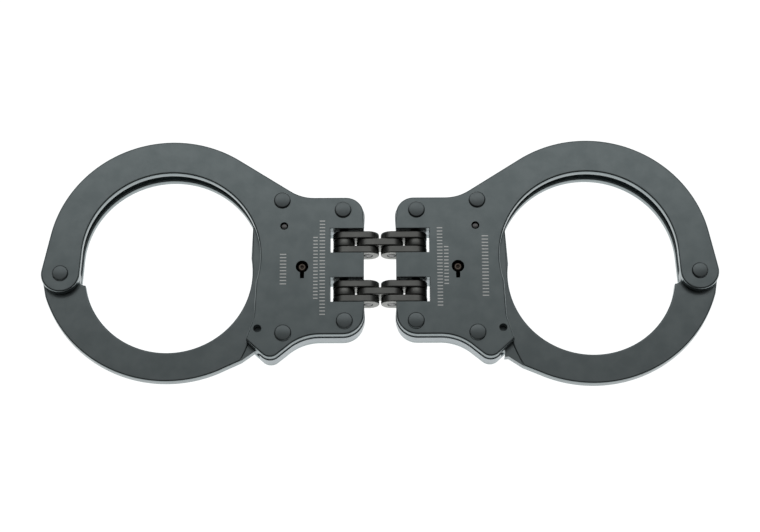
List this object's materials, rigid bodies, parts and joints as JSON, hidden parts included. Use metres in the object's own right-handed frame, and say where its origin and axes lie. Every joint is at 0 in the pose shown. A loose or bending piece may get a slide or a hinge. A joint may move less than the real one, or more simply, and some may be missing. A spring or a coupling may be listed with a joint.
{
  "type": "hinged handcuffs",
  "caption": "Flat steel handcuffs, two swing-through ratchet cuffs joined by a short multi-link hinge, closed and lying flat.",
  "frame": {"origin": "middle between the cuffs, centred across, at the lowest points of the back rivet heads", "axes": "+X from the left cuff to the right cuff, +Y towards the bows, +Z through the thickness towards the keyhole side"},
  "size_m": [0.2092, 0.0785, 0.0112],
  "materials": {
    "cheek_steel": "black oxide, satin",
    "frame_steel": "black oxide, satin",
    "arm_steel": "black oxide, satin",
    "rivet_steel": "black oxide, rounded heads",
    "lock_steel": "blackened, oiled",
    "post_steel": "worn, brownish grey",
    "link_steel": "black oxide, darker than the cheeks",
    "pin_steel": "blackened"
  },
  "bodies": {
    "left_cuff": {"left_front_cheek": "cheek_steel", "left_back_cheek": "cheek_steel", "left_lock_frame": "frame_steel", "left_pivot_rivet": "rivet_steel", "left_body_rivet_1": "rivet_steel", "left_body_rivet_2": "rivet_steel", "left_body_rivet_3": "rivet_steel", "left_body_rivet_4": "rivet_steel", "left_pawl_pin": "pin_steel", "left_pawl_spring": "pin_steel", "left_key_post": "post_steel", "left_hinge_pin": "pin_steel"},
    "left_arm": {"left_swing_arm": "arm_steel"},
    "left_pawl": {"left_pawl": "lock_steel"},
    "left_double_lock": {"left_double_lock_bar": "lock_steel"},
    "left_links": {"left_upper_link_a": "link_steel", "left_upper_link_b": "link_steel", "left_lower_link_a": "link_steel", "left_lower_link_b": "link_steel", "left_upper_roller": "link_steel", "left_lower_roller": "link_steel", "left_upper_link_rivet": "pin_steel", "left_lower_link_rivet": "pin_steel"},
    "right_cuff": {"right_front_cheek": "cheek_steel", "right_back_cheek": "cheek_steel", "right_lock_frame": "frame_steel", "right_pivot_rivet": "rivet_steel", "right_body_rivet_1": "rivet_steel", "right_body_rivet_2": "rivet_steel", "right_body_rivet_3": "rivet_steel", "right_body_rivet_4": "rivet_steel", "right_pawl_pin": "pin_steel", "right_pawl_spring": "pin_steel", "right_key_post": "post_steel", "right_hinge_pin": "pin_steel"},
    "right_arm": {"right_swing_arm": "arm_steel"},
    "right_pawl": {"right_pawl": "lock_steel"},
    "right_double_lock": {"right_double_lock_bar": "lock_steel"},
    "right_links": {"right_upper_link_a": "link_steel", "right_upper_link_b": "link_steel", "right_lower_link_a": "link_steel", "right_lower_link_b": "link_steel", "right_upper_roller": "link_steel", "right_lower_roller": "link_steel", "right_upper_link_rivet": "pin_steel", "right_lower_link_rivet": "pin_steel"},
    "centre_links": {"upper_centre_link": "link_steel", "lower_centre_link": "link_steel"}
  },
  "joints": [
    {"name": "left_cuff_hinge", "type": "hinge", "parent": "left_cuff", "child": "left_links", "pos_m": [-0.0111, 0, 0.0056], "axis": [0, 1, 0], "range_deg": [-60, 60]},
    {"name": "left_centre_hinge", "type": "hinge", "parent": "left_links", "child": "centre_links", "pos_m": [-0.00375, 0, 0.0056], "axis": [0, 1, 0], "range_deg": [-30, 30]},
    {"name": "right_centre_hinge", "type": "hinge", "parent": "centre_links", "child": "right_links", "pos_m": [0.00375, 0, 0.0056], "axis": [0, 1, 0], "range_deg": [-30, 30]},
    {"name": "right_cuff_hinge", "type": "hinge", "parent": "right_links", "child": "right_cuff", "pos_m": [0.0111, 0, 0.0056], "axis": [0, 1, 0], "range_deg": [-60, 60]},
    {"name": "left_arm_swing", "type": "hinge", "parent": "left_cuff", "child": "left_arm", "pos_m": [-0.0986, -0.00414, 0.0056], "axis": [0, 0, 1], "continuous": true},
    {"name": "left_pawl_release", "type": "hinge", "parent": "left_cuff", "child": "left_pawl", "pos_m": [-0.02965, 0.01101, 0.0056], "axis": [0, 0, 1], "range_deg": [0, 4.5], "stiffness_Nm_per_rad": 0.02, "springref_deg": -5.73},
    {"name": "left_double_lock_slide", "type": "slide", "parent": "left_cuff", "child": "left_double_lock", "axis": [0, -1, 0], "range_m": [0, 0.002]},
    {"name": "right_arm_swing", "type": "hinge", "parent": "right_cuff", "child": "right_arm", "pos_m": [0.0986, -0.00414, 0.0056], "axis": [0, 0, -1], "continuous": true},
    {"name": "right_pawl_release", "type": "hinge", "parent": "right_cuff", "child": "right_pawl", "pos_m": [0.02965, 0.01101, 0.0056], "axis": [0, 0, -1], "range_deg": [0, 4.5], "stiffness_Nm_per_rad": 0.02, "springref_deg": -5.73},
    {"name": "right_double_lock_slide", "type": "slide", "parent": "right_cuff", "child": "right_double_lock", "axis": [0, -1, 0], "range_m": [0, 0.002]}
  ]
}
